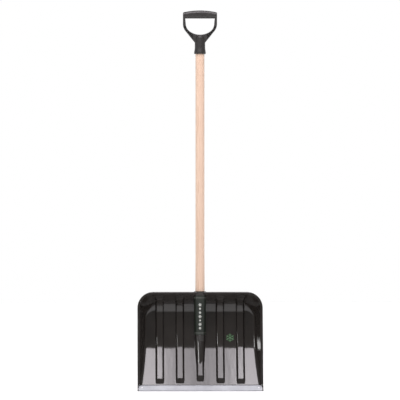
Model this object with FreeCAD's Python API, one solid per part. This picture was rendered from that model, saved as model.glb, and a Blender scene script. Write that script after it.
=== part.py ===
import FreeCAD, Part
import math
import os

# Snow shovel: a wide moulded scoop with an aluminium wear strip, a wooden shaft and a D-grip.
# Millimetres. The shaft's line is vertical and +Z is up. The front of the scoop faces -Y, +X is to its right.
# The origin is the centre of the flat on which the wear strip rests.
#
# The scoop is first built in its own frame: X across, Z up along the plane of its rim, and Y deep into the
# scoop. seat() then leans that plane back from the shaft's line and lifts it onto the strip's nose.

# Scoop
SCOOP_WIDTH = 500.0
SCOOP_LENGTH = 404.4
SCOOP_LEAN = 15.0
WALL = 3.2
BACK_DRAFT = 23.7
SIDE_DRAFT = 16.5
RIM_FLANGE = 7.0
RIM_CORNER = 64.0
RIM_BOW = 5.0
RIM_THICK = 3.0
RIM_EDGE = 4.2
SKIRT_THICK = 5.2
SKIRT_DEPTH = 9.0
LIP_LENGTH = 26.0
LIP_TILT = 25.0
FLOOR_RADIUS = 700.0
BACK_RADIUS = 60.0
TOE_RADIUS = 12.0
DEEP_CORNER = 63.0

# Blocks that cut the scoop to shape reach past it by these amounts
BLOCK_FRONT = -90.0
BLOCK_REAR = 200.0
BLOCK_BELOW = 60.0
BLOCK_ABOVE = 150.0
BLOCK_MARGIN = 20.0
WALLS_FRONT = -40.0
WALLS_REAR = 110.0
RIM_BLOCK_FRONT = -20.0
RIM_BLOCK_DEPTH = 80.0
RIM_FOOT = 3.0
ON_SURFACE = 0.05
TOUCHING = 0.01
MIDLINE = 1.0
LIP_JOIN = 1.0
RING_LAP = 2.0
HEAD_MARGIN = 1.0
NECK_LAP = 1.0
ARM_TOP_MARGIN = 2.0

# Wear strip, folded around the scoop's lip
STRIP_LENGTH = 489.5
STRIP_LEG = 24.5
STRIP_THICK = 1.2
LIP_SETBACK = 0.4
LIP_CLEARANCE = 0.001
LIP_OVERLAP = 1.0
STRIP_ROOM = 40.0
NOSE_FLAT = 3.0
EAR_GAP = 0.25
EAR_REACH = 30.0
EAR_MARGIN = 0.6
EAR_NOSE = 0.72

# Blind rivets at the ends of the strip
RIVET_X = 232.0
RIVET_UP = 14.0
RIVET_RADIUS = 2.0
RIVET_HEAD_RADIUS = 4.0
RIVET_HEAD_RISE = 1.1
RIVET_BULB_RADIUS = 3.1
RIVET_BULB_RISE = 1.9
MANDREL_RADIUS = 1.0
MANDREL_PROUD = 0.6

# Ribs pressed forward out of the scoop's floor
RIB_PITCH = 80.5
RIB_RISE = 12.0
RIB_TOP_HALF = 12.3
RIB_BASE_HALF = 17.5
RIB_WALL = 2.8
RIB_EDGE = 4.0
RIB_BURIED = 0.8
RIB_END_DEPTH = 14.0
SIDE_FOOT = -24.6
INNER_FOOT_STEP = 0.2
SIDE_SLOPE = 1.6
CENTRE_FOOT = -23.7
CENTRE_SLOPE = 2.0
CENTRE_HIGH = -15.5
HOLLOW_SLOPE = 0.4
HOLLOW_BASE_INSET = 3.0
HOLLOW_TOP_INSET = 2.0
HOLLOW_LOW = 2.7
HOLLOW_REAR = 9.0
SIDE_HOLLOW_HIGH = -0.5
CENTRE_HOLLOW_STEP = 1.5
CENTRE_RIB_TOP_HALF = 10.6
CENTRE_RIB_BASE_HALF = 15.5

# Socket for the shaft
SOCKET_Y = 125.5
SOCKET_TOP = 394.0
SOCKET_FLOOR = 199.0
SOCKET_END = 195.0
SOCKET_TOP_RADIUS = 24.0
SOCKET_END_RADIUS = 22.5
SOCKET_EDGE = 1.6
SOCKET_BEADS = (205.5, 216.5)
BEAD_RADIUS = 1.8
WEB_HALF = 19.5
WEB_REACH = 60.0
WEB_TOP = 372.0
CHANNEL_HALF = 15.5
CHANNEL_LOW = 206.0
CHANNEL_HIGH = 338.0
PLATE_LEVELS = (250.0, 280.0, 310.0)
PLATE_THICK = 2.5
NOSE_TIP_Z = 98.0
NOSE_TIP_Y = 73.2
NOSE_TIP_RADIUS = 16.0
NOSE_WALL = 3.0

# Shaft
SHAFT_LENGTH = 1200.0
SHAFT_RADIUS = 17.9
SHAFT_SWELL_RADIUS = 18.9
SHAFT_SWELL_TOP = 570.0
SHAFT_END_RADIUS = 17.0
SPIGOT_RADIUS = 16.0
FIT_GAP = 0.1
CHAMFER = 2.0
SHOULDER = 1.0
SEAT_GAP = 1.0

# D-grip
GRIP_LOW = 1341.6
GRIP_TOP = 1516.0
GRIP_HALF = 68.0
BAR_END_TOP = 1509.5
BAR_UNDER = 1484.0
BAR_DEPTH = 33.0
BAR_END_CORNER = 6.0
BAR_EDGE = 11.0
BAR_TRIM = 1.0
ARM_DEPTH = 24.0
ARM_EDGE = 3.0
ARM_LAP = 14.0
ARM_TURN_Z = 1462.0
ARM_TURN_RADIUS = 45.0
ARM_SLOPE = 39.0
LOOP_HALF = 59.0
LOOP_SIDE_HALF = 57.0
LOOP_TURN_Z = 1464.0
LOOP_TURN_RADIUS = 40.0
SADDLE_Z = 1419.0
NECK_RADIUS = 20.8
NECK_TOP = 1415.0
NECK_DOME = 9.0
FLARE_RADIUS = 23.4
FLARE_ROUND = 3.0
FLARE_Z = 1348.0
FLARE_TOP = 1365.0
SPIGOT_START = 1346.0
POCKET_INNER = 25.0
POCKET_LOW = 1398.0
POCKET_HIGH = 1456.0
POCKET_INSET = 3.2
POCKET_DEPTH = 7.5
LATTICE_RIB = 2.0
LATTICE_PITCH = 9.5
LATTICE_COUNT = 4
LATTICE_START = 26.0

# Screws that hold the shaft
SCREW_RADIUS = 2.0
SCREW_LENGTH = 24.0
SCREW_HEAD_RADIUS = 4.4
SCREW_HEAD_RISE = 2.4
SCREW_POINT = 5.0
SCREW_TIP_RADIUS = 0.3
CROSS_DEPTH = 1.4
CROSS_REACH = 2.4
CROSS_HALF = 0.5
SPOT_DEPTH = 0.8
SPOT_MARGIN = 0.8
SPOT_HEIGHT = 8.0
SOCKET_SCREW_Z = 226.0
GRIP_SCREW_Z = 1376.0

# Label and mark
LABEL_THICK = 0.2
LABEL_LOW = 221.0
LABEL_HIGH = 377.0
LABEL_WRAP = 165.0
MARK_X = 120.0
MARK_Y = 124.0
MARK_Z = 209.0
MARK_RADIUS = 17.0
MARK_LINE = 1.8
MARK_RISE = 0.4
MARK_TURN = 30.0
TWIG_START = 9.0
TWIG_LENGTH = 7.0
TWIG_LINE = 1.5
TWIG_ANGLE = 55.0

# Worked-out sizes
LEAN = math.radians(SCOOP_LEAN)
TILT = math.radians(LIP_TILT)
BACK_TAPER = math.tan(math.radians(BACK_DRAFT))
SIDE_TAPER = math.tan(math.radians(SIDE_DRAFT))
BACK_TURN = 90.0 - BACK_DRAFT
HALF_WALL = WALL / 2
STRIP_OUTER = HALF_WALL + STRIP_THICK
SHAFT_LOW = SOCKET_FLOOR + SEAT_GAP
NOSE_HEIGHT = math.sqrt(STRIP_OUTER ** 2 - (NOSE_FLAT / 2) ** 2)
MOUTH_HALF = SCOOP_WIDTH / 2 - RIM_FLANGE
MOUTH_TOP = SCOOP_LENGTH - RIM_FLANGE
MOUTH_CORNER = RIM_CORNER - RIM_FLANGE
LIP_END_Y = LIP_LENGTH * math.sin(TILT)
LIP_END_Z = LIP_LENGTH * math.cos(TILT)
FLOOR_Y = LIP_END_Y - FLOOR_RADIUS * math.cos(TILT)
FLOOR_Z = LIP_END_Z + FLOOR_RADIUS * math.sin(TILT)
DEEPEST = FLOOR_Y + FLOOR_RADIUS
BACK_EDGE_Z = MOUTH_TOP - DEEPEST * BACK_TAPER
BACK_Z = BACK_EDGE_Z - BACK_RADIUS * math.tan(math.radians(BACK_TURN / 2))
BACK_Y = DEEPEST - BACK_RADIUS

UP = FreeCAD.Vector(0, 0, 1)
ACROSS = FreeCAD.Vector(1, 0, 0)
BACKWARD = FreeCAD.Vector(0, 1, 0)
LIP_UP = FreeCAD.Vector(0, math.sin(TILT), math.cos(TILT))
LIP_BACK = FreeCAD.Vector(0, math.cos(TILT), -math.sin(TILT))


def at(x, y, z):
    return FreeCAD.Vector(x, y, z)


def line(a, b):
    return Part.LineSegment(a, b).toShape()


def arc(a, mid, b):
    return Part.Arc(a, mid, b).toShape()


def polygon(points):
    return Part.Wire([line(a, b) for a, b in zip(points, points[1:] + points[:1])])


def prism(wire, travel):
    return Part.Face(wire).extrude(travel)


def slab(wire, half_width):
    """The closed outline, drawn in the YZ plane, carried across from -half_width to +half_width."""
    face = Part.Face(wire)
    face.translate(at(-half_width, 0, 0))
    return face.extrude(at(2 * half_width, 0, 0))


def box(low, high):
    return Part.makeBox(high[0] - low[0], high[1] - low[1], high[2] - low[2], at(*low))


def seat(shape):
    """Lean a shape of the scoop's own frame back from the shaft's line and lift it onto the strip's nose."""
    placed = shape.copy()
    placed.rotate(at(0, 0, 0), ACROSS, -SCOOP_LEAN)
    placed.translate(at(0, 0, NOSE_HEIGHT))
    return placed


def unseat(point):
    """A point of the row's frame, in the scoop's own frame."""
    y = point.y
    z = point.z - NOSE_HEIGHT
    return at(point.x, y * math.cos(LEAN) - z * math.sin(LEAN), y * math.sin(LEAN) + z * math.cos(LEAN))


# ---------------------------------------------------------------- scoop's floor and walls

def on_floor(angle, offset, x=0.0):
    """A point of the curved floor, offset behind its middle surface. Angle 0 is its deepest level."""
    reach = FLOOR_RADIUS + offset
    turn = math.radians(angle)
    return at(x, FLOOR_Y + reach * math.cos(turn), FLOOR_Z + reach * math.sin(turn))


def on_back(angle, offset, x=0.0):
    """A point of the bend between the floor and the back wall."""
    reach = BACK_RADIUS + offset
    turn = math.radians(angle)
    return at(x, BACK_Y + reach * math.cos(turn), BACK_Z + reach * math.sin(turn))


def on_back_wall(depth, offset, x=0.0):
    """A point of the straight back wall, at a depth behind the plane of the rim."""
    turn = math.radians(BACK_TURN)
    start = on_back(BACK_TURN, offset, x)
    climb = (start.y - depth) / math.sin(turn)
    return start + at(0, -math.sin(turn), math.cos(turn)) * climb


def floor_side(offset):
    """All that lies in front of the floor surface at this offset, as a wide prism."""
    low = LIP_UP * -BLOCK_BELOW + LIP_BACK * offset
    lip = LIP_UP * LIP_LENGTH + LIP_BACK * offset
    deep = on_floor(0, offset)
    high = deep + at(0, 0, BLOCK_ABOVE)
    wire = Part.Wire([
        line(low, lip),
        arc(lip, on_floor(-LIP_TILT / 2, offset), deep),
        line(deep, high),
        line(high, at(0, BLOCK_FRONT, high.z)),
        line(at(0, BLOCK_FRONT, high.z), at(0, BLOCK_FRONT, low.z)),
        line(at(0, BLOCK_FRONT, low.z), low),
    ])
    return slab(wire, SCOOP_WIDTH)


def arch(depth, half, top, corner, foot=-BLOCK_BELOW):
    """The scoop's front outline at one depth: two sides, a top and two rounded corners."""
    ease = corner * (1 - math.sqrt(0.5))
    turn = top - corner
    return Part.Wire([
        line(at(-half, depth, foot), at(-half, depth, turn)),
        arc(at(-half, depth, turn), at(-half + ease, depth, top - ease), at(-half + corner, depth, top)),
        line(at(-half + corner, depth, top), at(half - corner, depth, top)),
        arc(at(half - corner, depth, top), at(half - ease, depth, top - ease), at(half, depth, turn)),
        line(at(half, depth, turn), at(half, depth, foot)),
        line(at(half, depth, foot), at(-half, depth, foot)),
    ])


def drafted_walls(offset):
    """The space between the side and back walls, which draw in with depth."""
    sections = []
    for depth in (WALLS_FRONT, WALLS_REAR):
        corner = MOUTH_CORNER + (DEEP_CORNER - MOUTH_CORNER) * depth / DEEPEST + offset
        side = MOUTH_HALF - depth * SIDE_TAPER + offset / math.cos(math.radians(SIDE_DRAFT))
        top = MOUTH_TOP - depth * BACK_TAPER + offset / math.cos(math.radians(BACK_DRAFT))
        sections.append(arch(depth, side, top, corner))
    return Part.makeLoft(sections, True, True)


def lies_on_floor(point, offset):
    lip_gap = abs(point.dot(LIP_BACK) - offset)
    arc_gap = abs(math.hypot(point.y - FLOOR_Y, point.z - FLOOR_Z) - FLOOR_RADIUS - offset)
    deep_gap = abs(point.y - DEEPEST - offset)
    if point.z < LIP_END_Z + LIP_JOIN:
        return min(lip_gap, arc_gap) < ON_SURFACE
    return (arc_gap if point.z < FLOOR_Z else deep_gap) < ON_SURFACE


def toe_radii(edge, radius, back_radius):
    """Fillet radii at the two ends of an edge where the walls meet the floor."""
    ends = [edge.valueAt(edge.FirstParameter), edge.valueAt(edge.LastParameter)]
    middle = edge.valueAt((edge.FirstParameter + edge.LastParameter) / 2)
    if abs(middle.x) < MIDLINE:
        return back_radius, back_radius
    if middle.z < BACK_EDGE_Z - DEEP_CORNER:
        return radius, radius
    if abs(ends[0].x) > abs(ends[1].x):
        return radius, back_radius
    return back_radius, radius


def snow_space(offset):
    """The space that the scoop's skin encloses, at an offset behind the skin's middle surface."""
    sharp = drafted_walls(offset).common(floor_side(offset)).Solids[0]
    chosen = []
    for number, edge in enumerate(sharp.Edges, 1):
        middle = edge.valueAt((edge.FirstParameter + edge.LastParameter) / 2)
        if edge.Curve.TypeId != "Part::GeomLine" and lies_on_floor(middle, offset):
            radii = toe_radii(edge, TOE_RADIUS + offset + HALF_WALL, BACK_RADIUS + offset)
            chosen.append((number, *radii))
    document = FreeCAD.newDocument()
    base = document.addObject("Part::Feature", "sharp")
    base.Shape = sharp
    rounded = document.addObject("Part::Fillet", "rounded")
    rounded.Base = base
    rounded.Edges = chosen
    document.recompute()
    result = rounded.Shape.copy()
    FreeCAD.closeDocument(document.Name)
    return result


def rim_line(depth):
    """The rim's gently bowed edge seen from the side, and all that lies behind it."""
    low = at(0, depth, -BLOCK_MARGIN)
    high = at(0, depth, SCOOP_LENGTH + BLOCK_MARGIN)
    middle = at(0, depth + RIM_BOW, SCOOP_LENGTH / 2)
    wire = Part.Wire([
        arc(low, middle, high),
        line(high, at(0, BLOCK_REAR, high.z)),
        line(at(0, BLOCK_REAR, high.z), at(0, BLOCK_REAR, low.z)),
        line(at(0, BLOCK_REAR, low.z), low),
    ])
    return slab(wire, SCOOP_WIDTH)


def rim_block(inset, foot):
    """The scoop's outline, drawn in by an inset, as a straight block through the rim."""
    outline = arch(RIM_BLOCK_FRONT, SCOOP_WIDTH / 2 - inset, SCOOP_LENGTH - inset, RIM_CORNER - inset, foot)
    return prism(outline, BACKWARD * RIM_BLOCK_DEPTH)


def rim_ring(width, thickness):
    ring_block = rim_block(0, -BLOCK_BELOW).cut(rim_block(width, -BLOCK_BELOW - BLOCK_MARGIN))
    return ring_block.common(rim_line(0).cut(rim_line(thickness)))


def outer_rim_edges(ring_shape):
    """The front edges of the rim that lie on its outside."""
    surfaces = (rim_block(0, -BLOCK_BELOW).Shells[0], rim_line(0).Shells[0])
    chosen = []
    for edge in ring_shape.Edges:
        middle = Part.Vertex(edge.valueAt((edge.FirstParameter + edge.LastParameter) / 2))
        if middle.Point.z > 0 and all(face.distToShape(middle)[0] < TOUCHING for face in surfaces):
            chosen.append(edge)
    return chosen


def rim(inside):
    """The flange around the mouth and the skirt that turns back from it."""
    flange = rim_ring(RIM_FLANGE + RING_LAP, RIM_THICK)
    edge_band = flange.fuse(rim_ring(SKIRT_THICK, SKIRT_DEPTH)).removeSplitter()
    rounded = edge_band.makeFillet(RIM_EDGE, outer_rim_edges(edge_band))
    above_lip = box((-SCOOP_WIDTH, BLOCK_FRONT, RIM_FOOT), (SCOOP_WIDTH, BLOCK_REAR, 2 * SCOOP_LENGTH))
    return rounded.cut(inside).common(above_lip)


def along_lip(start, end, half_depth, half_width):
    """A plate on the lip's middle surface, from start to end up the lip."""
    low = LIP_UP * start
    high = LIP_UP * end
    out = LIP_BACK * half_depth
    return slab(polygon([low - out, high - out, high + out, low + out]), half_width)


def lip_plate():
    half = STRIP_LENGTH / 2 + EAR_GAP
    return along_lip(LIP_SETBACK + LIP_CLEARANCE, LIP_LENGTH + LIP_OVERLAP, HALF_WALL, half)


def strip_room():
    """Room for the strip: everything around the lip between the two ears."""
    half = STRIP_LENGTH / 2 + EAR_GAP
    return along_lip(-BLOCK_MARGIN, STRIP_LEG + EAR_GAP, STRIP_ROOM, half)


def ears():
    """The tabs that close the strip's two ends."""
    inner = STRIP_LENGTH / 2 + EAR_GAP
    half = STRIP_OUTER + EAR_MARGIN
    wire = Part.Wire([
        line(LIP_UP * EAR_REACH - LIP_BACK * half, -LIP_BACK * half),
        arc(-LIP_BACK * half, -LIP_UP * STRIP_OUTER * EAR_NOSE, LIP_BACK * half),
        line(LIP_BACK * half, LIP_UP * EAR_REACH + LIP_BACK * half),
        line(LIP_UP * EAR_REACH + LIP_BACK * half, LIP_UP * EAR_REACH - LIP_BACK * half),
    ])
    width = SCOOP_WIDTH / 2 - inner
    right = prism(wire, at(width, 0, 0))
    right.translate(at(inner, 0, 0))
    left = prism(wire, at(width, 0, 0))
    left.translate(at(-SCOOP_WIDTH / 2, 0, 0))
    return [right, left]


# ---------------------------------------------------------------- ribs

def rib_outline(x, rise, base, foot, slope, high=None):
    """One lengthwise section of a rib. rise is its height over the floor's front face, base the offset of its
    buried side, foot the angle at which its end face starts, and slope that face's angular length. A rib
    with no high angle climbs over the bend and ends on the back wall, just under the rim."""
    top = -HALF_WALL - rise
    start = on_floor(foot, base, x)
    crest = on_floor(foot + slope, top, x)
    if high is not None:
        half = (foot + slope + high) / 2
        return Part.Wire([
            arc(start, on_floor((foot + high) / 2, base, x), on_floor(high, base, x)),
            line(on_floor(high, base, x), on_floor(high, top, x)),
            arc(on_floor(high, top, x), on_floor(half, top, x), crest),
            line(crest, start),
        ])
    end = on_back_wall(RIB_END_DEPTH, base, x)
    end_crest = on_back_wall(RIB_END_DEPTH, top, x)
    return Part.Wire([
        arc(start, on_floor(foot / 2, base, x), on_floor(0, base, x)),
        line(on_floor(0, base, x), on_back(0, base, x)),
        arc(on_back(0, base, x), on_back(BACK_TURN / 2, base, x), on_back(BACK_TURN, base, x)),
        line(on_back(BACK_TURN, base, x), end),
        line(end, end_crest),
        line(end_crest, on_back(BACK_TURN, top, x)),
        arc(on_back(BACK_TURN, top, x), on_back(BACK_TURN / 2, top, x), on_back(0, top, x)),
        line(on_back(0, top, x), on_floor(0, top, x)),
        arc(on_floor(0, top, x), on_floor((foot + slope) / 2, top, x), crest),
        line(crest, start),
    ])


def in_front_of_skin(point):
    """How far a point stands in front of the middle surface of the floor and its bend."""
    if point.z < FLOOR_Z:
        return FLOOR_RADIUS - math.hypot(point.y - FLOOR_Y, point.z - FLOOR_Z)
    if point.z < BACK_Z:
        return DEEPEST - point.y
    return BACK_RADIUS - math.hypot(point.y - BACK_Y, point.z - BACK_Z)


def rib_form(x, top_half, base_half, foot, slope, high=None):
    """The rib's outside, with its long upper edges rounded."""
    steps = [(-base_half, -RIB_BURIED), (-top_half, RIB_RISE), (top_half, RIB_RISE), (base_half, -RIB_BURIED)]
    form = Part.makeLoft([rib_outline(x + s, rise, 0, foot, slope, high) for s, rise in steps], True, True)
    upper = []
    for edge in form.Edges:
        middle = edge.valueAt((edge.FirstParameter + edge.LastParameter) / 2)
        if abs(abs(middle.x - x) - top_half) < TOUCHING and in_front_of_skin(middle) > RIB_RISE / 2:
            upper.append(edge)
    return form.makeFillet(RIB_EDGE, upper)


def rib_hollow(x, top_half, base_half, foot, high):
    """The hollow behind the rib, open to the back."""
    rise = RIB_RISE - RIB_WALL
    base = base_half - HOLLOW_BASE_INSET
    top = top_half - HOLLOW_TOP_INSET
    steps = [(-base, -HOLLOW_LOW), (-top, rise), (top, rise), (base, -HOLLOW_LOW)]
    sections = [rib_outline(x + s, r, HOLLOW_REAR, foot, HOLLOW_SLOPE, high) for s, r in steps]
    return Part.makeLoft(sections, True, True)


def side_foot(n):
    """Angle at which a side rib starts. The inner pair starts slightly higher up the floor."""
    return SIDE_FOOT + INNER_FOOT_STEP if abs(n) == 1 else SIDE_FOOT


def side_ribs():
    return [
        rib_form(n * RIB_PITCH, RIB_TOP_HALF, RIB_BASE_HALF, side_foot(n), SIDE_SLOPE) for n in (-2, -1, 1, 2)
    ]


def centre_rib():
    return rib_form(0, CENTRE_RIB_TOP_HALF, CENTRE_RIB_BASE_HALF, CENTRE_FOOT, CENTRE_SLOPE, CENTRE_HIGH)


def rib_hollows():
    """The hollows behind all the ribs. Each starts behind the crest of its rib's end face."""
    hollows = [
        rib_hollow(n * RIB_PITCH, RIB_TOP_HALF, RIB_BASE_HALF, side_foot(n) + SIDE_SLOPE, SIDE_HOLLOW_HIGH)
        for n in (-2, -1, 1, 2)
    ]
    centre_foot = CENTRE_FOOT + CENTRE_SLOPE
    high = CENTRE_HIGH - CENTRE_HOLLOW_STEP
    return hollows + [rib_hollow(0, CENTRE_RIB_TOP_HALF, CENTRE_RIB_BASE_HALF, centre_foot, high)]


# ---------------------------------------------------------------- socket

def socket_radius(z):
    rise = (z - SOCKET_END) / (SOCKET_TOP - SOCKET_END)
    return SOCKET_END_RADIUS + (SOCKET_TOP_RADIUS - SOCKET_END_RADIUS) * rise


def socket_tube():
    height = SOCKET_TOP - SOCKET_END
    tube = Part.makeCone(SOCKET_END_RADIUS, SOCKET_TOP_RADIUS, height, at(0, SOCKET_Y, SOCKET_END))
    rounded = [edge for edge in tube.Edges if edge.BoundBox.ZLength < TOUCHING]
    return tube.makeFillet(SOCKET_EDGE, rounded)


def socket_beads():
    """Two raised rings around the socket's lower end."""
    return [Part.makeTorus(socket_radius(z), BEAD_RADIUS, at(0, SOCKET_Y, z), UP) for z in SOCKET_BEADS]


def socket_bore():
    height = SOCKET_TOP - SOCKET_FLOOR
    return Part.makeCone(
        SHAFT_END_RADIUS, SHAFT_SWELL_RADIUS, height, at(0, SOCKET_Y, SOCKET_FLOOR)
    ).fuse(Part.makeCylinder(SHAFT_SWELL_RADIUS, BLOCK_MARGIN, at(0, SOCKET_Y, SOCKET_TOP)))


def ring(radius, y, z):
    return Part.Wire([Part.makeCircle(radius, at(0, y, z), UP)])


def nose(inset):
    """The tapering end of the bulge, from the socket's end down to the top of the centre rib."""
    wide = ring(SOCKET_END_RADIUS - inset, SOCKET_Y, SOCKET_END - 2 * inset)
    tip = ring(NOSE_TIP_RADIUS - inset, NOSE_TIP_Y, NOSE_TIP_Z + 2 * inset)
    return Part.makeLoft([wide, tip], True, True)


def socket_web(inside):
    """Two sides that join the socket to the floor, as one block before the channel is cut."""
    return box((-WEB_HALF, SOCKET_Y, SOCKET_END), (WEB_HALF, SOCKET_Y + WEB_REACH, WEB_TOP)).common(inside)


def back_channel():
    return box((-CHANNEL_HALF, SOCKET_Y, CHANNEL_LOW), (CHANNEL_HALF, SOCKET_Y + WEB_REACH, CHANNEL_HIGH))


def channel_plates(inside):
    """Thin cross plates that brace the channel behind the socket."""
    block = socket_web(inside)
    return [
        block.common(box((-WEB_HALF, SOCKET_Y, z), (WEB_HALF, SOCKET_Y + WEB_REACH, z + PLATE_THICK)))
        for z in PLATE_LEVELS
    ]


# ---------------------------------------------------------------- scoop

def scoop():
    front = snow_space(-HALF_WALL)
    back = snow_space(HALF_WALL)
    above_lip = along_lip(LIP_SETBACK, 2 * SCOOP_LENGTH, SCOOP_LENGTH, SCOOP_WIDTH)
    skin = back.cut(front).common(rim_line(0)).common(above_lip)
    body = skin.fuse([rim(front)] + side_ribs() + [centre_rib()])
    body = body.cut(strip_room())
    body = body.fuse([lip_plate()] + ears())
    body = body.cut(rib_hollows())
    body = seat(body)
    inside = seat(back)
    body = body.fuse([socket_web(inside), nose(0).common(inside)])
    body = body.cut([back_channel(), nose(NOSE_WALL)])
    body = body.fuse([socket_tube()] + socket_beads() + channel_plates(inside))
    body = body.cut([socket_bore(), screw_room(SOCKET_SCREW_Z, screw_face(SOCKET_SCREW_Z))])
    for hole in rivet_holes():
        body = body.cut(hole)
    return body


# ---------------------------------------------------------------- wear strip and rivets

def edge_strip():
    """A strip folded around the lip. Its nose is worn to a narrow flat that faces straight down."""
    outer = STRIP_OUTER
    legs = LIP_UP * STRIP_LEG
    lip = LIP_UP * LIP_SETBACK
    wire = Part.Wire([
        line(legs - LIP_BACK * outer, -LIP_BACK * outer),
        arc(-LIP_BACK * outer, -LIP_UP * outer, LIP_BACK * outer),
        line(LIP_BACK * outer, legs + LIP_BACK * outer),
        line(legs + LIP_BACK * outer, legs + LIP_BACK * HALF_WALL),
        line(legs + LIP_BACK * HALF_WALL, lip + LIP_BACK * HALF_WALL),
        line(lip + LIP_BACK * HALF_WALL, lip - LIP_BACK * HALF_WALL),
        line(lip - LIP_BACK * HALF_WALL, legs - LIP_BACK * HALF_WALL),
        line(legs - LIP_BACK * HALF_WALL, legs - LIP_BACK * outer),
    ])
    strip = seat(slab(wire, STRIP_LENGTH / 2))
    strip = strip.cut(box((-SCOOP_WIDTH, -STRIP_LEG, -STRIP_LEG), (SCOOP_WIDTH, STRIP_LEG, 0)))
    return strip.cut(rivet_holes())


def rivet_axis(x):
    """Centre of a rivet on the lip's middle surface, and the direction out through the front leg."""
    centre = seat(Part.Vertex(LIP_UP * RIVET_UP)).Point
    tip = seat(Part.Vertex(LIP_UP * RIVET_UP - LIP_BACK)).Point
    return centre + at(x, 0, 0), tip - centre


def rivet_holes():
    holes = []
    for x in (-RIVET_X, RIVET_X):
        centre, out = rivet_axis(x)
        holes.append(Part.makeCylinder(RIVET_RADIUS, BLOCK_MARGIN, centre - out * (BLOCK_MARGIN / 2), out))
    return holes


def domed_disc(radius, rise, point, out):
    """A low domed head that sits on a face at the point."""
    ball = (radius ** 2 + rise ** 2) / (2 * rise)
    dome = Part.makeSphere(ball, point + out * (rise - ball))
    return dome.common(Part.makeCylinder(radius + HEAD_MARGIN, rise + HEAD_MARGIN, point, out))


def rivet(x):
    centre, out = rivet_axis(x)
    face = centre + out * STRIP_OUTER
    rear = centre - out * STRIP_OUTER
    body = Part.makeCylinder(RIVET_RADIUS, 2 * STRIP_OUTER, rear, out)
    head = domed_disc(RIVET_HEAD_RADIUS, RIVET_HEAD_RISE, face, out)
    bulb = domed_disc(RIVET_BULB_RADIUS, RIVET_BULB_RISE, rear, out * -1)
    return body.fuse([head, bulb]).cut(mandrel(x))


def mandrel(x):
    """What is left of the rivet's mandrel after it snaps off inside the head."""
    centre, out = rivet_axis(x)
    half = STRIP_OUTER + MANDREL_PROUD
    return Part.makeCylinder(MANDREL_RADIUS, 2 * half, centre - out * half, out)


# ---------------------------------------------------------------- shaft

def shaft():
    low = SHAFT_LOW
    high = low + SHAFT_LENGTH
    points = [
        at(0, 0, low),
        at(SHAFT_END_RADIUS - FIT_GAP - CHAMFER, 0, low),
        at(SHAFT_END_RADIUS - FIT_GAP, 0, low + CHAMFER),
        at(SHAFT_SWELL_RADIUS - FIT_GAP, 0, SOCKET_TOP),
        at(SHAFT_RADIUS, 0, SHAFT_SWELL_TOP),
        at(SHAFT_RADIUS, 0, SPIGOT_START - SHOULDER),
        at(SPIGOT_RADIUS - FIT_GAP, 0, SPIGOT_START),
        at(SPIGOT_RADIUS - FIT_GAP, 0, high - CHAMFER),
        at(SPIGOT_RADIUS - FIT_GAP - CHAMFER, 0, high),
        at(0, 0, high),
    ]
    body = Part.Face(polygon(points)).revolve(at(0, 0, 0), UP, 360)
    body.translate(at(0, SOCKET_Y, 0))
    pilots = [screw(SOCKET_SCREW_Z, screw_face(SOCKET_SCREW_Z)), screw(GRIP_SCREW_Z, SOCKET_Y + NECK_RADIUS)]
    return body.cut(pilots)


# ---------------------------------------------------------------- screws

def screw_face(z):
    """The level of the flat that a screw's head sits on, behind the socket."""
    return SOCKET_Y + socket_radius(z) - SPOT_DEPTH


def screw(z, face):
    """A pan-head wood screw driven forward from the back."""
    seat_point = at(0, face, z)
    head = domed_disc(SCREW_HEAD_RADIUS, SCREW_HEAD_RISE, seat_point, BACKWARD)
    plain = SCREW_LENGTH - SCREW_POINT
    shank = Part.makeCylinder(SCREW_RADIUS, plain, seat_point, BACKWARD * -1)
    tip = seat_point - BACKWARD * plain
    point = Part.makeCone(SCREW_RADIUS, SCREW_TIP_RADIUS, SCREW_POINT, tip, BACKWARD * -1)
    slot = face + SCREW_HEAD_RISE - CROSS_DEPTH
    rear = face + 2 * SCREW_HEAD_RISE
    recess = box((-CROSS_REACH, slot, z - CROSS_HALF), (CROSS_REACH, rear, z + CROSS_HALF))
    recess = recess.fuse(box((-CROSS_HALF, slot, z - CROSS_REACH), (CROSS_HALF, rear, z + CROSS_REACH)))
    return head.fuse([shank, point]).cut(recess)


def screw_room(z, face):
    """The hole and the spot-faced seat for a screw."""
    seat_point = at(0, face, z)
    hole = Part.makeCylinder(SCREW_RADIUS, SCREW_LENGTH, seat_point, BACKWARD * -1)
    spot = Part.makeCylinder(SCREW_HEAD_RADIUS + SPOT_MARGIN, SPOT_HEIGHT, seat_point, BACKWARD)
    return hole.fuse(spot)


# ---------------------------------------------------------------- D-grip

def slope_point():
    """Where the arm's outside leaves its turn and runs straight down towards the neck."""
    turn = math.radians(ARM_SLOPE)
    x = GRIP_HALF - ARM_TURN_RADIUS * (1 - math.cos(turn))
    z = ARM_TURN_Z - ARM_TURN_RADIUS * math.sin(turn)
    return x, z


def mirrored(edges):
    """A chain of edges on the right, run back on the left so that the two make one closed wire."""
    left = [edge.mirror(at(0, 0, 0), ACROSS) for edge in edges]
    return Part.Wire(Part.__sortEdges__(edges + left))


def crown_height(x):
    """Level of the bar's crowned top at a distance from its middle."""
    half = GRIP_HALF - BAR_END_CORNER
    rise = GRIP_TOP - BAR_END_TOP
    radius = (half ** 2 + rise ** 2) / (2 * rise)
    return GRIP_TOP - radius + math.sqrt(radius ** 2 - x ** 2)


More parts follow.
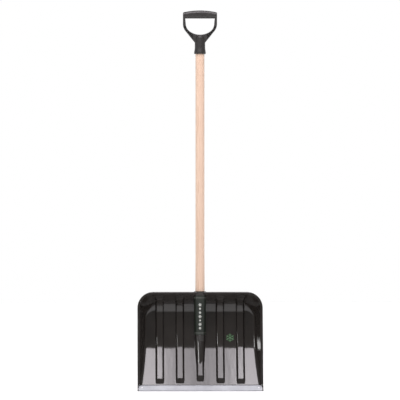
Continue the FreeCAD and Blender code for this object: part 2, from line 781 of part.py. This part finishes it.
def grip_outline():
    x, z = slope_point()
    turn = math.radians(ARM_SLOPE)
    neck_z = z - (x - NECK_RADIUS + NECK_LAP) / math.tan(turn)
    half = math.radians(ARM_SLOPE / 2)
    mid = at(
        GRIP_HALF - ARM_TURN_RADIUS * (1 - math.cos(half)), 0, ARM_TURN_Z - ARM_TURN_RADIUS * math.sin(half)
    )
    corner = BAR_END_CORNER
    ease = corner * (1 - math.sqrt(0.5))
    bar_end = GRIP_HALF - corner
    crown_x = bar_end / 2
    return mirrored([
        arc(at(0, 0, GRIP_TOP), at(crown_x, 0, crown_height(crown_x)), at(bar_end, 0, BAR_END_TOP)),
        arc(
            at(bar_end, 0, BAR_END_TOP),
            at(GRIP_HALF - ease, 0, BAR_END_TOP - ease),
            at(GRIP_HALF, 0, BAR_END_TOP - corner),
        ),
        line(at(GRIP_HALF, 0, BAR_END_TOP - corner), at(GRIP_HALF, 0, ARM_TURN_Z)),
        arc(at(GRIP_HALF, 0, ARM_TURN_Z), mid, at(x, 0, z)),
        line(at(x, 0, z), at(NECK_RADIUS - NECK_LAP, 0, neck_z)),
        line(at(NECK_RADIUS - NECK_LAP, 0, neck_z), at(0, 0, neck_z)),
    ])


def loop_outline():
    """The finger loop: a straight top, two sides, two turns and a shallow saddle."""
    gap = SADDLE_Z - LOOP_TURN_Z
    centre_x = LOOP_SIDE_HALF - LOOP_TURN_RADIUS
    saddle = (centre_x ** 2 + gap ** 2 - LOOP_TURN_RADIUS ** 2) / (-2 * (gap + LOOP_TURN_RADIUS))
    saddle_z = SADDLE_Z + saddle
    lean = math.atan2(saddle_z - LOOP_TURN_Z, centre_x)
    meet = at(saddle * math.cos(lean), 0, saddle_z - saddle * math.sin(lean))
    half = math.pi / 2 - (math.pi / 2 - lean) / 2
    saddle_mid = at(saddle * math.cos(half), 0, saddle_z - saddle * math.sin(half))
    turn_mid = at(
        centre_x + LOOP_TURN_RADIUS * math.cos(lean / 2),
        0,
        LOOP_TURN_Z - LOOP_TURN_RADIUS * math.sin(lean / 2),
    )
    side = at(LOOP_SIDE_HALF, 0, LOOP_TURN_Z)
    corner = at(LOOP_HALF, 0, BAR_UNDER)
    return mirrored([
        line(at(0, 0, BAR_UNDER), corner),
        line(corner, side),
        arc(side, turn_mid, meet),
        arc(meet, saddle_mid, at(0, 0, SADDLE_Z)),
    ])


def through(wire, depth):
    """An outline of the XZ plane, cut or raised symmetrically in depth about the shaft's axis."""
    body = prism(wire, at(0, depth, 0))
    body.translate(at(0, SOCKET_Y - depth / 2, 0))
    return body


def bar():
    """The hand bar: a crowned top over a straight underside, with its four long edges well rounded."""
    half = GRIP_HALF + BAR_TRIM
    end = at(half, 0, crown_height(half))
    start = at(-half, 0, end.z)
    outline = Part.Wire([
        arc(start, at(0, 0, GRIP_TOP), end),
        line(end, at(half, 0, BAR_UNDER)),
        line(at(half, 0, BAR_UNDER), at(-half, 0, BAR_UNDER)),
        line(at(-half, 0, BAR_UNDER), start),
    ])
    body = through(outline, BAR_DEPTH)
    lengthwise = [edge for edge in body.Edges if edge.BoundBox.XLength > GRIP_HALF]
    return body.makeFillet(BAR_EDGE, lengthwise).common(through(grip_outline(), BAR_DEPTH))


def arms():
    """The two arms and the web between them, under the bar."""
    body = through(grip_outline(), ARM_DEPTH)
    body = body.common(box((-GRIP_HALF, 0, GRIP_LOW), (GRIP_HALF, BLOCK_REAR, BAR_UNDER + ARM_LAP)))
    body = body.cut(through(loop_outline(), BLOCK_REAR))
    faces = (SOCKET_Y - ARM_DEPTH / 2, SOCKET_Y + ARM_DEPTH / 2)
    outlines = [
        edge for edge in body.Edges
        if any(abs(edge.CenterOfMass.y - y) < TOUCHING for y in faces)
        and NECK_TOP - 2 * ARM_DEPTH < edge.CenterOfMass.z < BAR_UNDER + ARM_TOP_MARGIN
    ]
    return body.makeFillet(ARM_EDGE, outlines)


def arm_pockets():
    """Recesses in both faces of the sloping arms, crossed by short lattice ribs."""
    face = Part.Face(grip_outline()).cut(Part.Face(loop_outline()))
    window = Part.Face(polygon([
        at(POCKET_INNER, 0, POCKET_LOW),
        at(GRIP_HALF, 0, POCKET_LOW),
        at(GRIP_HALF, 0, POCKET_HIGH),
        at(POCKET_INNER, 0, POCKET_HIGH),
    ]))
    pocket = face.common(window).Faces[0].makeOffset2D(-POCKET_INSET)
    deep = []
    for y in (SOCKET_Y - ARM_DEPTH / 2 - 1, SOCKET_Y + ARM_DEPTH / 2 - POCKET_DEPTH):
        recess = pocket.extrude(at(0, POCKET_DEPTH + 1, 0))
        recess.translate(at(0, y, 0))
        deep.append(recess.cut(lattice()))
    return deep + [recess.mirror(at(0, 0, 0), ACROSS) for recess in deep]


def lattice():
    """Short plates square to the arm, one above another from its lower end."""
    turn = math.radians(ARM_SLOPE)
    along = at(math.sin(turn), 0, math.cos(turn))
    x, z = slope_point()
    start = at(x, SOCKET_Y, z) - along * LATTICE_START
    plates = []
    for n in range(LATTICE_COUNT):
        plate = box((-ARM_DEPTH, -ARM_DEPTH, -LATTICE_RIB / 2), (ARM_DEPTH, ARM_DEPTH, LATTICE_RIB / 2))
        plate.rotate(at(0, 0, 0), BACKWARD, ARM_SLOPE)
        plate.translate(start + along * (n * LATTICE_PITCH))
        plates.append(plate)
    return plates


def neck():
    """The tube that takes the shaft's spigot, with a flared mouth and a domed top."""
    mouth_ease = FLARE_ROUND * (1 - math.sqrt(0.5))
    dome_ease = NECK_DOME * (1 - math.sqrt(0.5))
    profile = Part.Wire([
        line(at(0, 0, GRIP_LOW), at(FLARE_RADIUS - FLARE_ROUND, 0, GRIP_LOW)),
        arc(
            at(FLARE_RADIUS - FLARE_ROUND, 0, GRIP_LOW),
            at(FLARE_RADIUS - mouth_ease, 0, GRIP_LOW + mouth_ease),
            at(FLARE_RADIUS, 0, GRIP_LOW + FLARE_ROUND),
        ),
        line(at(FLARE_RADIUS, 0, GRIP_LOW + FLARE_ROUND), at(FLARE_RADIUS, 0, FLARE_Z)),
        line(at(FLARE_RADIUS, 0, FLARE_Z), at(NECK_RADIUS, 0, FLARE_TOP)),
        line(at(NECK_RADIUS, 0, FLARE_TOP), at(NECK_RADIUS, 0, NECK_TOP - NECK_DOME)),
        arc(
            at(NECK_RADIUS, 0, NECK_TOP - NECK_DOME),
            at(NECK_RADIUS - dome_ease, 0, NECK_TOP - dome_ease),
            at(NECK_RADIUS - NECK_DOME, 0, NECK_TOP),
        ),
        line(at(NECK_RADIUS - NECK_DOME, 0, NECK_TOP), at(0, 0, NECK_TOP)),
        line(at(0, 0, NECK_TOP), at(0, 0, GRIP_LOW)),
    ])
    body = Part.Face(profile).revolve(at(0, 0, 0), UP, 360)
    body.translate(at(0, SOCKET_Y, 0))
    return body


def neck_bore():
    mouth = Part.makeCylinder(SHAFT_RADIUS + FIT_GAP, SPIGOT_START - GRIP_LOW, at(0, SOCKET_Y, GRIP_LOW))
    depth = SHAFT_LOW + SHAFT_LENGTH - SPIGOT_START + SEAT_GAP
    spigot = Part.makeCylinder(SPIGOT_RADIUS, depth, at(0, SOCKET_Y, SPIGOT_START))
    return [mouth, spigot]


def d_grip():
    body = arms().fuse([bar(), neck()])
    body = body.cut(arm_pockets())
    return body.cut(neck_bore() + [screw_room(GRIP_SCREW_Z, SOCKET_Y + NECK_RADIUS)])


# ---------------------------------------------------------------- label and mark

def socket_label():
    """A printed foil wrapped around the front of the socket."""
    height = LABEL_HIGH - LABEL_LOW
    low = socket_radius(LABEL_LOW)
    high = socket_radius(LABEL_HIGH)
    base = at(0, SOCKET_Y, LABEL_LOW)
    outer = Part.makeCone(low + LABEL_THICK, high + LABEL_THICK, height, base, UP, LABEL_WRAP)
    inner = Part.makeCone(low, high, height, base)
    foil = outer.cut(inner)
    foil.rotate(at(0, SOCKET_Y, 0), UP, -90 - LABEL_WRAP / 2)
    return foil


def flake_bar(start, end, width):
    """A straight bar of the mark, along X, deep enough to reach through the floor."""
    return box((start, -STRIP_ROOM, -width / 2), (end, STRIP_ROOM, width / 2))


def snowflake_mark():
    """A six-armed mark, pressed thinly onto the floor between two ribs."""
    bars = []
    for n in range(6):
        bars.append(turned(flake_bar(0, MARK_RADIUS, MARK_LINE), MARK_TURN + 60 * n))
        for side in (-1, 1):
            twig = turned(flake_bar(0, TWIG_LENGTH, TWIG_LINE), side * TWIG_ANGLE)
            twig.translate(ACROSS * TWIG_START)
            bars.append(turned(twig, MARK_TURN + 60 * n))
    star = bars[0].fuse(bars[1:]).removeSplitter()
    centre = unseat(at(MARK_X, MARK_Y, MARK_Z))
    star.translate(at(MARK_X, centre.y, centre.z))
    layer = floor_side(-HALF_WALL).cut(floor_side(-HALF_WALL - MARK_RISE))
    return seat(star.common(layer))


def turned(shape, angle):
    copy = shape.copy()
    copy.rotate(at(0, 0, 0), BACKWARD, angle)
    return copy


# ---------------------------------------------------------------- writing

def save(name, shape):
    solids = shape.removeSplitter().Solids
    result = solids[0] if len(solids) == 1 else Part.makeCompound(solids)
    print(f"{name:24s} solids {len(solids)}  valid {result.isValid()}  volume {result.Volume / 1000:.2f} cm3")
    result.exportStep(f"parts/{name}.step")


def main():
    os.makedirs("parts", exist_ok=True)
    save("scoop", scoop())
    save("edge_strip", edge_strip())
    for side, x in (("left", -RIVET_X), ("right", RIVET_X)):
        save(f"edge_rivet_{side}", rivet(x))
        save(f"edge_rivet_{side}_pin", mandrel(x))
    save("shaft", shaft())
    save("d_grip", d_grip())
    save("socket_screw", screw(SOCKET_SCREW_Z, screw_face(SOCKET_SCREW_Z)))
    save("grip_screw", screw(GRIP_SCREW_Z, SOCKET_Y + NECK_RADIUS))
    save("socket_label", socket_label())
    save("snowflake_mark", snowflake_mark())


main()
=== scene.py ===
"""Snow shovel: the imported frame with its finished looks, in metres, in the row frame."""
import math

import bpy
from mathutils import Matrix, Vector


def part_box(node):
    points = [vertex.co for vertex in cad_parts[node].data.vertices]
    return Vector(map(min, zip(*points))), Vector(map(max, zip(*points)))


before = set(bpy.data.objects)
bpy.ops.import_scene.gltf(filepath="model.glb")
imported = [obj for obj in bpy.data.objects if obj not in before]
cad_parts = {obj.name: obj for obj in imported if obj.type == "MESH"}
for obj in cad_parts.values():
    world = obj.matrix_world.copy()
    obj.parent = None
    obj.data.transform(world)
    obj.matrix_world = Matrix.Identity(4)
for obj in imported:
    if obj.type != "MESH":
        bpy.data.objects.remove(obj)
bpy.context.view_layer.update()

# Camera: level, a little to the left of straight on, far away as the flat view shows.
CAMERA_DISTANCE = 16.0
CAMERA_AZIMUTH = -1.0
CAMERA_HEIGHT = 0.7586
CAMERA_SIDE = -0.001
FRAME_WIDTH = 1.592
SENSOR_MM = 36.0
CAMERA_TARGET_Y = 0.06
CAMERA_REACH = 100.0

# Printed label: pitch, size and line of the crystals, and the rules near its ends.
FLAKE_PITCH = 0.0156
FLAKE_REACH = 0.0058
FLAKE_SWING = 0.0019
FLAKE_LINE = 0.0011
FLAKE_FIRST = 0.018
FLAKE_COUNT = 7
FLAKE_EDGE = 1.3
FLAKE_RING = 0.55
RING_OUTER = 0.0008
RING_INNER = 0.0005
RULE_LOW = 0.007
RULE_HIGH = 0.009
RULE_OUTER = 0.0011
RULE_INNER = 0.0008
RULE_STRENGTH = 0.2

# Wood: where the growth rings have their centre, how the shaft leans through them, and their number.
PITH_X = -0.046
PITH_Y = 0.02
RING_LEAN = 0.011
RINGS_PER_METRE = 380.0

# Studio: floor, surroundings and lights.
FLOOR_HALF = 14.0
FLOOR_DROP = 0.0004
FLOOR_GLOW = 0.53
WORLD_FADE = (-0.1, 0.7)
WORLD_STRENGTH = (0.26, 1.0)
EDGE_PLACE = (-2.6, -2.5, 3.2)
EDGE_TARGET = (0.0, 0.08, 0.2)
EDGE_SIZE = (0.3, 0.5)
EDGE_POWER = 22.0
BOX_TARGET = Vector((0.056, 0.08, 0.15))
BOX_DISTANCE = 3.2
BOX_ELEVATION = math.radians(65.2)
BOX_HEIGHT = 1.70
BOX_COLOUR = (1.0, 0.945, 0.99)
# Each strip's distance from the middle, width and radiance. All but the middle one come in pairs.
BOX_STRIPS = [(0.0, 0.06, 4.8), (0.08, 0.10, 6.2), (0.155, 0.05, 7.7), (0.39, 0.42, 10.1)]


# ---------------------------------------------------------------- materials

class Nodes:
    """Short calls for building one material's node tree."""

    def __init__(self, name, **settings):
        self.material = bpy.data.materials.new(name)
        self.material.use_nodes = True
        self.tree = self.material.node_tree
        self.shader = self.tree.nodes["Principled BSDF"]
        for socket, value in settings.items():
            self.shader.inputs[socket.replace("_", " ")].default_value = value
        self.place = self.add("ShaderNodeTexCoord").outputs["Object"]

    def add(self, kind, **values):
        node = self.tree.nodes.new(kind)
        for key, value in values.items():
            setattr(node, key, value)
        return node

    def feed(self, socket, value):
        if isinstance(value, bpy.types.NodeSocket):
            self.tree.links.new(value, socket)
        else:
            socket.default_value = value

    def math(self, operation, a, b=0.0):
        node = self.add("ShaderNodeMath", operation=operation)
        for socket, value in zip(node.inputs, (a, b)):
            self.feed(socket, value)
        return node.outputs[0]

    def stretched(self, scale, shift=(0, 0, 0)):
        node = self.add("ShaderNodeMapping")
        self.feed(node.inputs["Vector"], self.place)
        node.inputs["Scale"].default_value = scale
        node.inputs["Location"].default_value = shift
        return node.outputs["Vector"]

    def noise(self, scale, detail=4.0, rough=0.55, vector=None):
        node = self.add("ShaderNodeTexNoise")
        self.feed(node.inputs["Vector"], vector or self.place)
        for socket, value in (("Scale", scale), ("Detail", detail), ("Roughness", rough)):
            node.inputs[socket].default_value = value
        return node.outputs["Fac"]

    def span(self, value, low, high, to_low=0.0, to_high=1.0, smooth=False):
        node = self.add("ShaderNodeMapRange")
        node.interpolation_type = "SMOOTHSTEP" if smooth else "LINEAR"
        for socket, number in zip(node.inputs, (value, low, high, to_low, to_high)):
            self.feed(socket, number)
        return node.outputs[0]

    def mix(self, factor, a, b):
        node = self.add("ShaderNodeMix", data_type="RGBA")
        self.feed(node.inputs["Factor"], factor)
        self.feed(node.inputs["A"], a)
        self.feed(node.inputs["B"], b)
        return node.outputs["Result"]

    def axes(self):
        node = self.add("ShaderNodeSeparateXYZ")
        self.feed(node.inputs[0], self.place)
        return node.outputs

    def worn_edges(self, radius):
        """1 on sharp edges and 0 on open faces."""
        bevel = self.add("ShaderNodeBevel", samples=4)
        bevel.inputs["Radius"].default_value = radius
        plain = self.add("ShaderNodeNewGeometry").outputs["Normal"]
        dot = self.add("ShaderNodeVectorMath", operation="DOT_PRODUCT")
        self.feed(dot.inputs[0], bevel.outputs[0])
        self.feed(dot.inputs[1], plain)
        return self.span(self.math("SUBTRACT", 1.0, dot.outputs["Value"]), 0.02, 0.25)

    def bump(self, *layers, rounding=None):
        """Stack (height, strength, distance) layers, over edges rounded by so much."""
        normal = None
        if rounding:
            bevel = self.add("ShaderNodeBevel", samples=6)
            bevel.inputs["Radius"].default_value = rounding
            normal = bevel.outputs[0]
        for height, strength, distance in layers:
            node = self.add("ShaderNodeBump")
            node.inputs["Strength"].default_value = strength
            node.inputs["Distance"].default_value = distance
            self.feed(node.inputs["Height"], height)
            if normal:
                self.feed(node.inputs["Normal"], normal)
            normal = node.outputs[0]
        self.feed(self.shader.inputs["Normal"], normal)

    def finish(self, colour, roughness):
        self.feed(self.shader.inputs["Base Color"], colour)
        self.feed(self.shader.inputs["Roughness"], roughness)
        return self.material


def scoop_plastic():
    """Glossy black polypropylene: flow streaks down the blade, scuffs, and grime along the strip."""
    n = Nodes("scoop_black_plastic", IOR=1.5)
    z = n.axes()["Z"]
    cloud = n.noise(9.0, 5.0)
    streaks = n.noise(34.0, 3.0, 0.6, vector=n.stretched((1.0, 0.3, 0.03), (4, 0, 2)))
    scuffs = n.noise(60.0, 6.0, 0.7, vector=n.stretched((7.0, 7.0, 0.35)))
    hairs = n.span(n.noise(90.0, 2.0, 0.5, vector=n.stretched((5.0, 5.0, 0.12), (3, 1, 7))), 0.66, 0.8)
    low = n.span(z, 0.0, 0.22, 1.0, 0.0, smooth=True)
    grime = n.math("MULTIPLY", n.span(z, 0.0262, 0.0235), n.span(z, 0.0195, 0.0215))
    wear = n.math("MULTIPLY", low, n.span(scuffs, 0.42, 0.8))
    base = n.mix(n.span(cloud, 0.3, 0.7), (0.0170, 0.0143, 0.0125, 1), (0.0240, 0.0205, 0.0183, 1))
    dusty = n.mix(n.math("MULTIPLY", wear, 0.4), base, (0.085, 0.083, 0.088, 1))
    edged = n.mix(n.math("MULTIPLY", n.worn_edges(0.0012), 0.3), dusty, (0.10, 0.10, 0.102, 1))
    gloss = n.math("ADD", n.span(cloud, 0.3, 0.7, 0.03, 0.05), n.math("MULTIPLY", scuffs, 0.03))
    gloss = n.math("ADD", gloss, n.math("MULTIPLY", hairs, 0.1))
    gloss = n.math("ADD", gloss, n.math("MULTIPLY", grime, 0.6))
    peel = n.noise(260.0, 2.0, 0.4)
    flow = n.noise(14.0, 3.0, 0.5, vector=n.stretched((1.0, 1.0, 0.6), (1, 2, 3)))
    n.bump((streaks, 0.16, 0.0016), (flow, 0.02, 0.001), (peel, 0.03, 0.0002), (hairs, 0.1, 0.0002),
           rounding=0.0012)
    return n.finish(edged, gloss)


def grip_plastic():
    """Satin black moulded grip with a fine spark-eroded texture, polished where held."""
    n = Nodes("grip_black_plastic", IOR=1.56)
    grain = n.noise(1500.0, 3.0, 0.6)
    cloud = n.noise(22.0, 4.0)
    held = n.span(n.axes()["Z"], 1.475, 1.5, smooth=True)
    base = n.mix(n.span(cloud, 0.3, 0.7), (0.0115, 0.0100, 0.0090, 1), (0.0165, 0.0146, 0.0133, 1))
    edged = n.mix(n.math("MULTIPLY", n.worn_edges(0.0015), 0.4), base, (0.1, 0.097, 0.094, 1))
    rough = n.math("SUBTRACT", n.span(cloud, 0.3, 0.7, 0.46, 0.54), n.math("MULTIPLY", held, 0.06))
    n.bump((grain, 0.1, 0.0002), rounding=0.0018)
    return n.finish(edged, rough)


def shaft_wood():
    """Pale turned hardwood: growth rings cut along a shaft that leans through them."""
    n = Nodes("shaft_pale_wood", IOR=1.45, Coat_Weight=0.25, Coat_Roughness=0.28)
    x, y, z = n.axes()
    drift = n.math("MULTIPLY", n.math("SUBTRACT", n.noise(1.6, 2.0), 0.5), 0.05)
    leaning = n.math("ADD", n.math("MULTIPLY", z, RING_LEAN), drift)
    offset_x = n.math("ADD", n.math("SUBTRACT", x, PITH_X), leaning)
    offset_y = n.math("SUBTRACT", y, PITH_Y)
    radius = n.math("SQRT", n.math("ADD", n.math("MULTIPLY", offset_x, offset_x),
                                   n.math("MULTIPLY", offset_y, offset_y)))
    ripple = n.math("MULTIPLY", n.noise(18.0, 3.0, 0.5, vector=n.stretched((1, 1, 0.12))), 0.0035)
    ring = n.math("FRACT", n.math("MULTIPLY", n.math("ADD", radius, ripple), RINGS_PER_METRE))
    late = n.span(ring, 0.55, 0.98, smooth=True)
    pores = n.span(n.noise(700.0, 2.0, 0.5, vector=n.stretched((1, 1, 0.022))), 0.6, 0.72)
    broad = n.noise(5.0, 4.0, 0.6, vector=n.stretched((1, 1, 0.25), (5, 5, 5)))
    pale = n.mix(n.span(broad, 0.35, 0.65), (0.718, 0.518, 0.397, 1), (0.8, 0.598, 0.463, 1))
    ringed = n.mix(n.math("MULTIPLY", late, 0.4), pale, (0.55, 0.34, 0.225, 1))
    flecked = n.mix(n.math("MULTIPLY", pores, 0.45), ringed, (0.50, 0.31, 0.20, 1))
    rough = n.math("ADD", n.span(broad, 0.3, 0.7, 0.38, 0.5), n.math("MULTIPLY", pores, 0.15))
    n.bump((late, 0.15, 0.0002), (pores, 0.35, 0.0003))
    return n.finish(flecked, rough)


def strip_aluminium():
    """Rolled aluminium edge: drawn lines along its length, and dragged scratches."""
    n = Nodes("strip_rolled_aluminium", Metallic=1.0, Anisotropic=0.35)
    drawn = n.noise(900.0, 3.0, 0.6, vector=n.stretched((0.012, 1, 1)))
    drags = n.span(n.noise(240.0, 3.0, 0.6, vector=n.stretched((1, 1, 0.05), (2, 4, 6))), 0.6, 0.75)
    cloud = n.noise(16.0, 5.0, 0.6)
    base = n.mix(n.span(cloud, 0.3, 0.7), (0.33, 0.342, 0.36, 1), (0.415, 0.43, 0.45, 1))
    scored = n.mix(n.math("MULTIPLY", drags, 0.4), base, (0.28, 0.278, 0.3, 1))
    rough = n.math("ADD", n.span(drawn, 0.3, 0.7, 0.5, 0.62), n.math("MULTIPLY", drags, 0.12))
    n.bump((drawn, 0.2, 0.0002), (drags, 0.25, 0.0003), rounding=0.0006)
    return n.finish(scored, rough)


def fastener_metal(name, light, dark, metal_rough):
    """Plated or plain fastener metal with turning marks and dulled edges."""
    n = Nodes(name, Metallic=1.0)
    speckle = n.noise(900.0, 4.0, 0.6)
    cloud = n.noise(120.0, 3.0)
    base = n.mix(n.span(cloud, 0.3, 0.7), dark, light)
    edged = n.mix(n.math("MULTIPLY", n.worn_edges(0.0005), 0.5), base, (0.85, 0.85, 0.86, 1))
    n.bump((speckle, 0.2, 0.0001), rounding=0.0003)
    return n.finish(edged, n.span(speckle, 0.3, 0.7, metal_rough, metal_rough + 0.14))


def label_foil():
    """Dark green label with a column of printed snow crystals and a thin rule at each end."""
    n = Nodes("socket_label_foil", IOR=1.45)
    axes = n.axes()
    x, z = axes["X"], axes["Z"]
    low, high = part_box("socket_label")
    start = low[2] + FLAKE_FIRST
    cloud = n.noise(40.0, 3.0)
    speckle = n.noise(260.0, 3.0, 0.7)
    ground = n.mix(n.span(cloud, 0.3, 0.7), (0.009, 0.0125, 0.009, 1), (0.015, 0.021, 0.0145, 1))
    ground = n.mix(n.span(speckle, 0.6, 0.7), ground, (0.045, 0.065, 0.042, 1))
    steps = n.math("DIVIDE", n.math("SUBTRACT", z, start), FLAKE_PITCH)
    up = n.math("MULTIPLY", n.math("SUBTRACT", n.math("FRACT", steps), 0.5), FLAKE_PITCH)
    reach = n.math("SQRT", n.math("ADD", n.math("MULTIPLY", x, x), n.math("MULTIPLY", up, up)))
    turned = n.math("MULTIPLY", n.math("ARCTAN2", up, x), 3.0)
    arm = n.math("MULTIPLY", reach, n.math("ABSOLUTE", n.math("SINE", turned)))
    swing = n.math("SINE", n.math("MULTIPLY", n.math("FLOOR", steps), 2.4))
    size = n.math("ADD", FLAKE_REACH, n.math("MULTIPLY", swing, FLAKE_SWING))
    star = n.math("MULTIPLY", n.span(arm, FLAKE_LINE * FLAKE_EDGE, FLAKE_LINE),
                  n.math("GREATER_THAN", size, reach))
    from_ring = n.math("SUBTRACT", reach, n.math("MULTIPLY", size, FLAKE_RING))
    ring = n.span(n.math("ABSOLUTE", from_ring), RING_OUTER, RING_INNER)
    counted = n.math("MULTIPLY", n.span(steps, 0.0, 0.001), n.span(steps, FLAKE_COUNT, FLAKE_COUNT - 0.001))
    shown = n.math("MULTIPLY", n.math("MAXIMUM", star, ring), counted)
    for level in (low[2] + RULE_LOW, high[2] - RULE_HIGH):
        rule = n.span(n.math("ABSOLUTE", n.math("SUBTRACT", z, level)), RULE_OUTER, RULE_INNER)
        shown = n.math("MAXIMUM", shown, n.math("MULTIPLY", rule, RULE_STRENGTH))
    printed = n.mix(shown, ground, (0.68, 0.69, 0.65, 1))
    n.bump((n.noise(1400.0, 2.0), 0.08, 0.0001), (shown, 0.1, 0.00005))
    return n.finish(printed, n.span(cloud, 0.3, 0.7, 0.3, 0.42))


def mark_print():
    """Green print, slightly uneven, on the raised snowflake."""
    n = Nodes("moulding_mark_print", IOR=1.5)
    speckle = n.noise(700.0, 4.0, 0.6)
    colour = n.mix(n.span(speckle, 0.35, 0.65), (0.045, 0.15, 0.05, 1), (0.085, 0.23, 0.09, 1))
    n.bump((speckle, 0.15, 0.0001))
    return n.finish(colour, n.span(speckle, 0.3, 0.7, 0.42, 0.55))


def assign(node, material):
    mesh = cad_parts[node].data
    for index in range(len(mesh.materials)):
        mesh.materials[index] = material
    if not mesh.materials:
        mesh.materials.append(material)


aluminium = strip_aluminium()
rivet_metal = fastener_metal("rivet_aluminium", (0.74, 0.74, 0.75, 1), (0.58, 0.58, 0.6, 1), 0.3)
mandrel_metal = fastener_metal("mandrel_steel", (0.42, 0.41, 0.40, 1), (0.3, 0.29, 0.28, 1), 0.35)
screw_metal = fastener_metal("screw_zinc_steel", (0.62, 0.61, 0.58, 1), (0.46, 0.45, 0.43, 1), 0.28)
finishes = {
    "scoop": scoop_plastic(),
    "edge_strip": aluminium,
    "edge_rivet_left": rivet_metal,
    "edge_rivet_right": rivet_metal,
    "edge_rivet_left_pin": mandrel_metal,
    "edge_rivet_right_pin": mandrel_metal,
    "shaft": shaft_wood(),
    "d_grip": grip_plastic(),
    "socket_screw": screw_metal,
    "grip_screw": screw_metal,
    "socket_label": label_foil(),
    "snowflake_mark": mark_print(),
}
for node_name, finish_material in finishes.items():
    assign(node_name, finish_material)


# ---------------------------------------------------------------- studio

def studio_floor():
    """A pale floor, much larger than the object, under its edge."""
    mesh = bpy.data.meshes.new("floor")
    corners = [(-1, -1), (1, -1), (1, 1), (-1, 1)]
    points = [(x * FLOOR_HALF, y * FLOOR_HALF, -FLOOR_DROP) for x, y in corners]
    mesh.from_pydata(points, [], [(0, 1, 2, 3)])
    floor = bpy.data.objects.new("floor", mesh)
    bpy.context.scene.collection.objects.link(floor)
    n = Nodes("floor_pale", IOR=1.3)
    tone = n.mix(n.noise(1.2, 3.0), (0.90, 0.90, 0.90, 1), (0.93, 0.93, 0.93, 1))
    n.shader.inputs["Emission Color"].default_value = (1, 1, 1, 1)
    n.shader.inputs["Emission Strength"].default_value = FLOOR_GLOW
    mesh.materials.append(n.finish(tone, 0.85))


def surroundings():
    """White behind the object, mid grey in front, so that gloss has something dark to show."""
    world = bpy.data.worlds.new("studio")
    bpy.context.scene.world = world
    world.use_nodes = True
    tree = world.node_tree
    direction = tree.nodes.new("ShaderNodeTexCoord")
    split = tree.nodes.new("ShaderNodeSeparateXYZ")
    tree.links.new(direction.outputs["Generated"], split.inputs[0])
    ramp = tree.nodes.new("ShaderNodeMapRange")
    ramp.interpolation_type = "SMOOTHSTEP"
    for socket, value in zip(list(ramp.inputs)[1:5], WORLD_FADE + WORLD_STRENGTH):
        socket.default_value = value
    tree.links.new(split.outputs["Y"], ramp.inputs[0])
    shade = tree.nodes["Background"]
    tree.links.new(ramp.outputs[0], shade.inputs["Strength"])
    shade.inputs["Color"].default_value = (1, 1, 1, 1)


def softbox(name, place, target, width, height, power, colour=(1, 1, 1)):
    light = bpy.data.lights.new(name, "AREA")
    light.shape = "RECTANGLE"
    light.size = width
    light.size_y = height
    light.energy = power
    light.color = colour
    lamp = bpy.data.objects.new(name, light)
    lamp.location = place
    lamp.rotation_euler = (Vector(target) - Vector(place)).to_track_quat("-Z", "Y").to_euler()
    bpy.context.scene.collection.objects.link(lamp)


def studio_camera():
    angle = math.radians(CAMERA_AZIMUTH)
    data = bpy.data.cameras.new("camera")
    data.sensor_width = SENSOR_MM
    data.lens = SENSOR_MM * CAMERA_DISTANCE / FRAME_WIDTH
    data.clip_end = CAMERA_REACH
    camera = bpy.data.objects.new("camera", data)
    target = Vector((CAMERA_SIDE, CAMERA_TARGET_Y, CAMERA_HEIGHT))
    camera.location = target + CAMERA_DISTANCE * Vector((math.sin(angle), -math.cos(angle), 0.0))
    camera.rotation_euler = (target - camera.location).to_track_quat("-Z", "Y").to_euler()
    bpy.context.scene.collection.objects.link(camera)
    bpy.context.scene.camera = camera


def front_box():
    """One box high in front, in seven strips side by side that brighten outwards.

    The blade's curved floor mirrors its lower edge as the line between its bright front half and its
    dark rear half.
    """
    toward = Vector((0.0, -math.cos(BOX_ELEVATION), math.sin(BOX_ELEVATION)))
    place = BOX_TARGET + BOX_DISTANCE * toward
    for number, (middle, width, radiance) in enumerate(BOX_STRIPS):
        for side in (-1, 1) if middle else (1,):
            shift = Vector((side * middle, 0, 0))
            power = radiance * math.pi * width * BOX_HEIGHT
            softbox(f"front_box_{number}_{side}", place + shift, BOX_TARGET + shift, width, BOX_HEIGHT,
                    power, colour=BOX_COLOUR)


studio_floor()
surroundings()
studio_camera()
front_box()
softbox("edge_light", EDGE_PLACE, EDGE_TARGET, *EDGE_SIZE, EDGE_POWER)
bpy.context.scene.view_settings.view_transform = "Standard"
